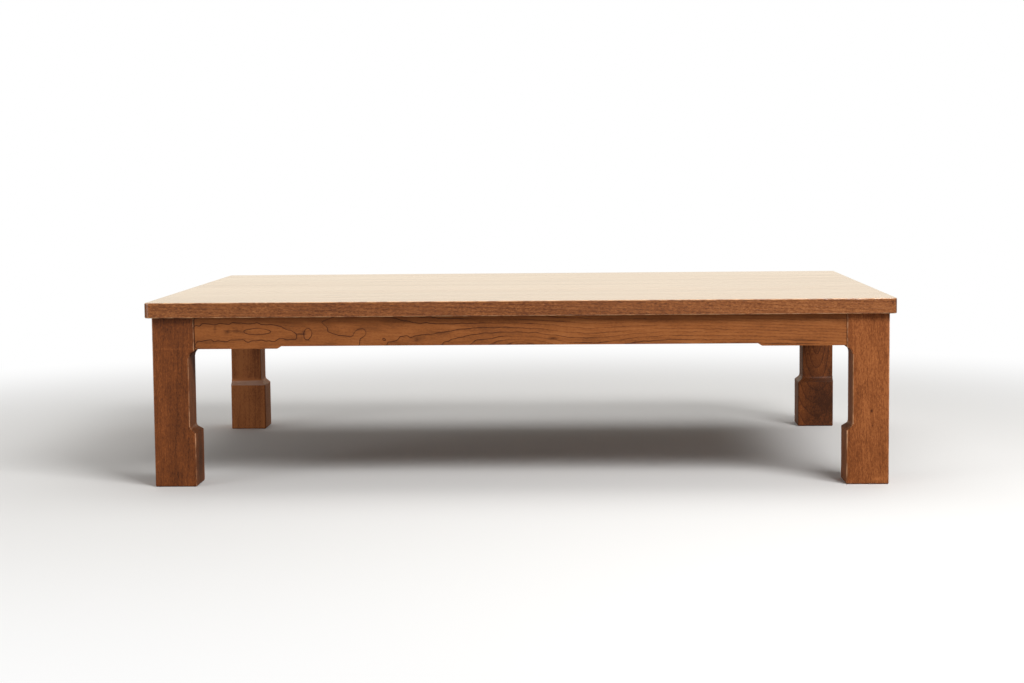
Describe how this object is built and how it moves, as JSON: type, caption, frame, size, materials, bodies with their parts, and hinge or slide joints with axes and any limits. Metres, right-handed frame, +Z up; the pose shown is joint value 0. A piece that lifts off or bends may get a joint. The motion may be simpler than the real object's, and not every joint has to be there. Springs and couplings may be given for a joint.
{
  "type": "low floor table",
  "caption": "Low rectangular floor table in solid wood: jointed board top, square legs relieved inside above block feet, and slim aprons with a stepped lower edge.",
  "frame": {"origin": "on the floor, under the middle of the table", "axes": "+X along the length of the top, towards the right seen from the front; +Y across the depth, towards the back; +Z up"},
  "size_m": [1.365, 0.91, 0.34],
  "materials": {
    "top_wood": "glossy clear lacquer",
    "leg_wood": "satin clear lacquer",
    "apron_wood": "satin clear lacquer",
    "inner_wood": "planed, unfinished",
    "tongue_wood": "planed, unfinished",
    "screw_metal": "yellow-passivated steel"
  },
  "bodies": {
    "root": {"top_board_front": "top_wood", "top_board_front_middle": "top_wood", "top_board_back_middle": "top_wood", "top_board_back": "top_wood", "top_spline_front": "tongue_wood", "top_spline_middle": "tongue_wood", "top_spline_back": "tongue_wood", "batten_left": "inner_wood", "batten_middle": "inner_wood", "batten_right": "inner_wood", "brace_front_left": "inner_wood", "brace_front_right": "inner_wood", "brace_back_left": "inner_wood", "brace_back_right": "inner_wood", "button_front_1": "inner_wood", "button_front_2": "inner_wood", "button_front_3": "inner_wood", "button_front_4": "inner_wood", "button_back_1": "inner_wood", "button_back_2": "inner_wood", "button_back_3": "inner_wood", "button_back_4": "inner_wood", "button_left_1": "inner_wood", "button_left_2": "inner_wood", "button_right_1": "inner_wood", "button_right_2": "inner_wood", "leg_front_left": "leg_wood", "leg_front_right": "leg_wood", "leg_back_left": "leg_wood", "leg_back_right": "leg_wood", "apron_front": "apron_wood", "apron_back": "apron_wood", "apron_left": "apron_wood", "apron_right": "apron_wood", "brace_screws": "screw_metal", "button_screws": "screw_metal"}
  },
  "joints": []
}
